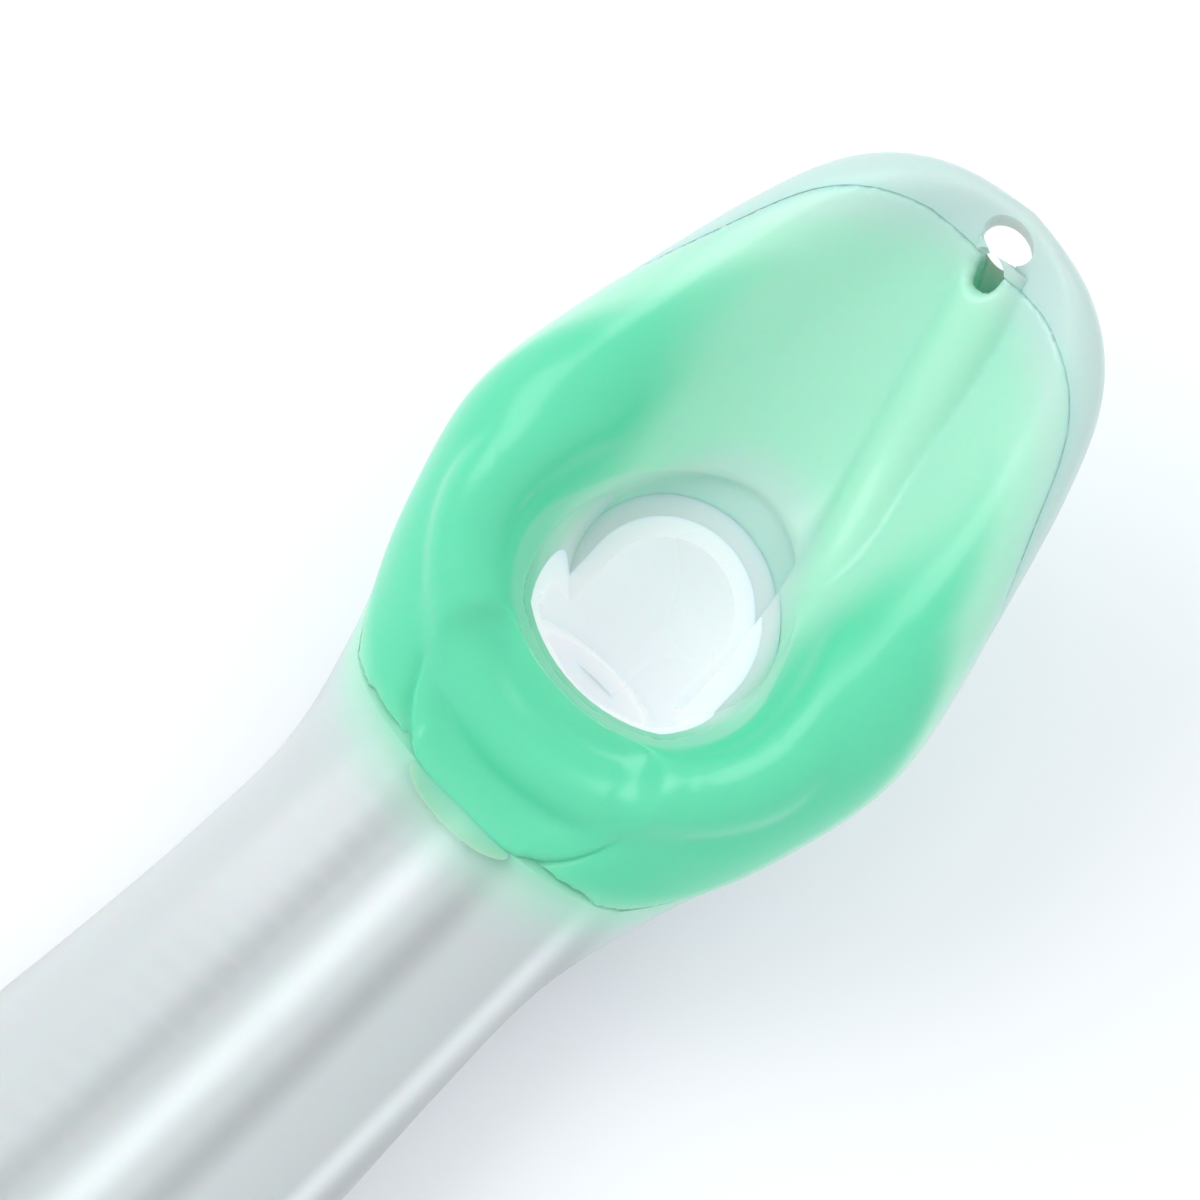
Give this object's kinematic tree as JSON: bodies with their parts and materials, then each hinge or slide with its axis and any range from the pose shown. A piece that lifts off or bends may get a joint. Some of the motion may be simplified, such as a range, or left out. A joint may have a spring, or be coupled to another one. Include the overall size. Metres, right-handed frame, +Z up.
{
  "type": "laryngeal mask airway",
  "caption": "Gel-cuffed mask airway: curved clear stem with airway and drain channels, deep oval bowl with a soft green cuff, tapered breathing connector.",
  "frame": {"origin": "centre of the footprint, on the surface that the back of the mask rests on", "axes": "+X towards the tip of the mask, +Y towards the side away from the drain channel, +Z up, out of the bowl"},
  "size_m": [0.1804, 0.047, 0.0545],
  "materials": {
    "clear_body": "milky clear soft elastomer, satin",
    "green_gel": "translucent mint green gel, soft satin",
    "clear_tube": "clear flexible tube, satin",
    "hard_connector": "clear rigid plastic, gloss"
  },
  "bodies": {
    "root": {"airway_body": "clear_body", "gel_cuff": "green_gel", "airway_tube": "clear_tube", "connector": "hard_connector"}
  },
  "joints": []
}
